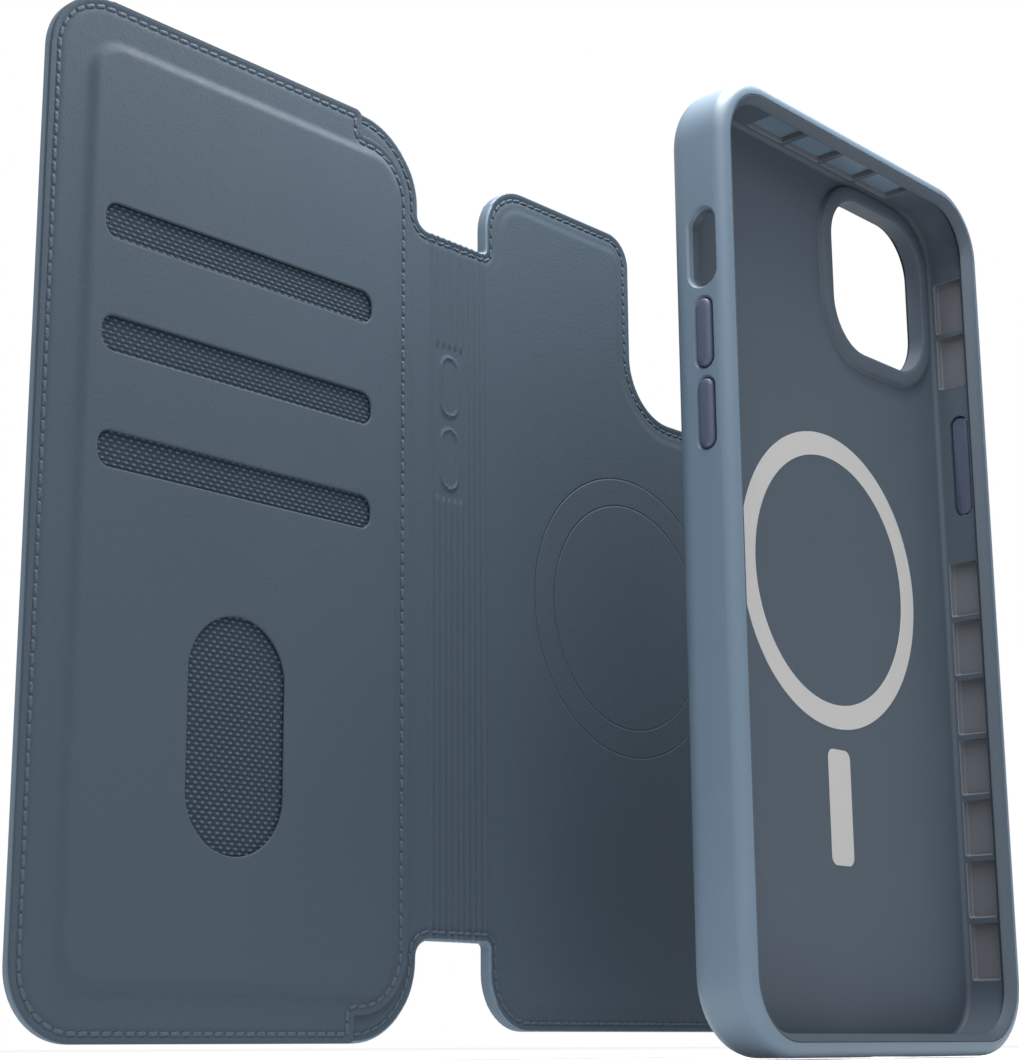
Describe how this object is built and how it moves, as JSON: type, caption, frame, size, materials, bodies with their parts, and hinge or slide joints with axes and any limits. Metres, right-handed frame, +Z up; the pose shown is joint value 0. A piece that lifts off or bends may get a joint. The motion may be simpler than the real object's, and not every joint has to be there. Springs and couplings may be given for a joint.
{
  "type": "phone wallet case",
  "caption": "Leather folio with card slots and a ridged folding spine, opened flat, and the snap-in phone case that docks on its magnet ring.",
  "frame": {"origin": "centre of the assembly's footprint, on the surface that the case's bottom edge stands on", "axes": "+X along the open folio from the card cover to the docking panel, -Y out of the folio's inside face towards the reader, +Z up along the phone"},
  "size_m": [0.1804, 0.0596, 0.1665],
  "materials": {
    "leather_outer": "fine grain, satin",
    "leather_lining": "fine grain, matt",
    "pocket_weave": "basket weave",
    "stiffener": "matt sheet",
    "thread": "waxed thread",
    "magnet": "plated",
    "case_outer": "satin moulded",
    "case_inner": "fine moulded texture",
    "bezel": "gloss",
    "ring_film": "matt print",
    "button": "satin"
  },
  "bodies": {
    "back_panel": {"back_lining": "leather_lining", "back_stitching": "thread", "back_board": "stiffener", "back_cover_skin": "leather_outer", "folio_magnet_ring": "magnet", "folio_ring_shield": "magnet", "folio_alignment_magnet": "magnet"},
    "spine_back": {"spine_lining_back": "leather_lining", "spine_skin_back": "leather_outer"},
    "spine_middle": {"spine_lining_middle": "leather_lining", "spine_skin_middle": "leather_outer"},
    "spine_front": {"spine_lining_front": "leather_lining", "spine_skin_front": "leather_outer"},
    "front_cover": {"pocket_panel": "leather_lining", "pocket_fabric": "pocket_weave", "cover_board": "stiffener", "cover_hinge_flap": "leather_outer", "front_cover_skin": "leather_outer", "cover_stitching": "thread"},
    "phone_case": {"case_shell": "case_outer", "case_liner": "case_inner", "camera_bezel": "bezel", "case_magnet_ring": "magnet", "case_ring_shield": "magnet", "case_ring_cover": "ring_film", "case_alignment_magnet": "magnet", "case_alignment_cover": "ring_film"},
    "volume_up": {"volume_up_button": "button"},
    "volume_down": {"volume_down_button": "button"},
    "power": {"power_button": "button"}
  },
  "joints": [
    {"name": "back_fold", "type": "hinge", "parent": "back_panel", "child": "spine_back", "pos_m": [0.0064, 0.0271, 0.0838], "axis": [0, 0, 1], "range_deg": [-45, 45]},
    {"name": "spine_back_bend", "type": "hinge", "parent": "spine_back", "child": "spine_middle", "pos_m": [0.0008, 0.0271, 0.0838], "axis": [0, 0, 1], "range_deg": [-45, 45]},
    {"name": "spine_front_bend", "type": "hinge", "parent": "spine_middle", "child": "spine_front", "pos_m": [-0.0048, 0.0271, 0.0838], "axis": [0, 0, 1], "range_deg": [-45, 45]},
    {"name": "cover_fold", "type": "hinge", "parent": "spine_front", "child": "front_cover", "pos_m": [-0.0104, 0.0271, 0.0838], "axis": [0, 0, 1], "range_deg": [-45, 45]},
    {"name": "case_dock", "type": "slide", "parent": "back_panel", "child": "phone_case", "axis": [0, 1, 0], "range_m": [0, 0.0446]},
    {"name": "volume_up_press", "type": "slide", "parent": "phone_case", "child": "volume_up", "axis": [1, 0, 0], "range_m": [0, 0.0004], "stiffness_N_per_m": 500},
    {"name": "volume_down_press", "type": "slide", "parent": "phone_case", "child": "volume_down", "axis": [1, 0, 0], "range_m": [0, 0.0004], "stiffness_N_per_m": 500},
    {"name": "power_press", "type": "slide", "parent": "phone_case", "child": "power", "axis": [-1, 0, 0], "range_m": [0, 0.0004], "stiffness_N_per_m": 500}
  ]
}
